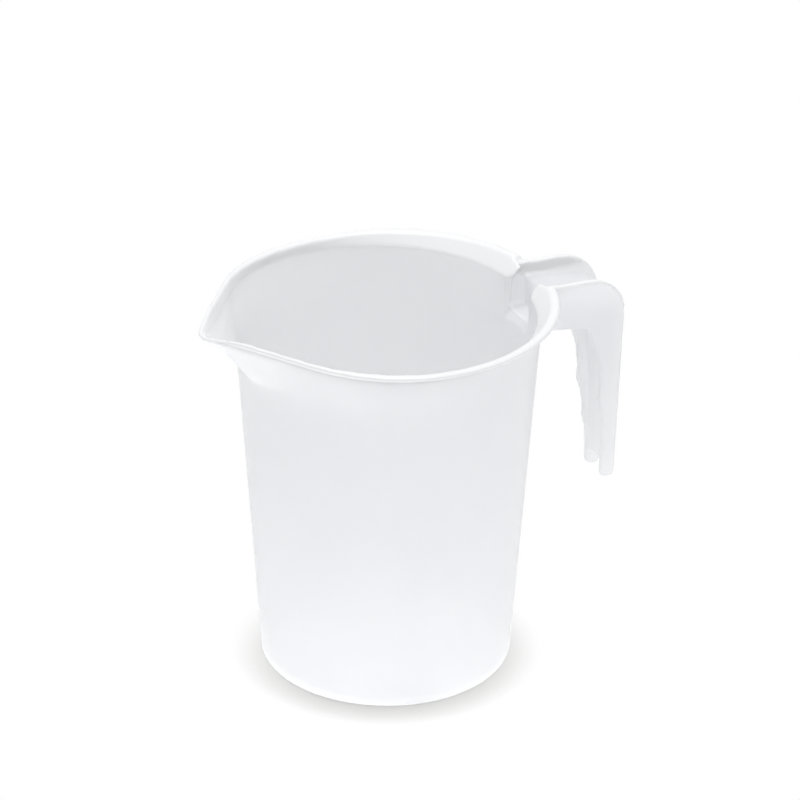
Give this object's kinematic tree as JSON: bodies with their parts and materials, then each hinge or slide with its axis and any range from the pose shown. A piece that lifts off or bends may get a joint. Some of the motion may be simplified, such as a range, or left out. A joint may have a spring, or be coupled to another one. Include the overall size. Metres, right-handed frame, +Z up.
{
  "type": "measuring jug",
  "caption": "Open one-piece moulded jug of translucent plastic: tapered body, flanged rim, pouring spout and a hooked handle with finger grooves.",
  "frame": {"origin": "centre of the base's flat underside", "axes": "+Z up, +X towards the handle, -X towards the spout"},
  "size_m": [0.1811, 0.1284, 0.1612],
  "materials": {
    "translucent_plastic": "translucent natural polypropylene with a soft sheen"
  },
  "bodies": {
    "root": {"jug": "translucent_plastic"}
  },
  "joints": []
}
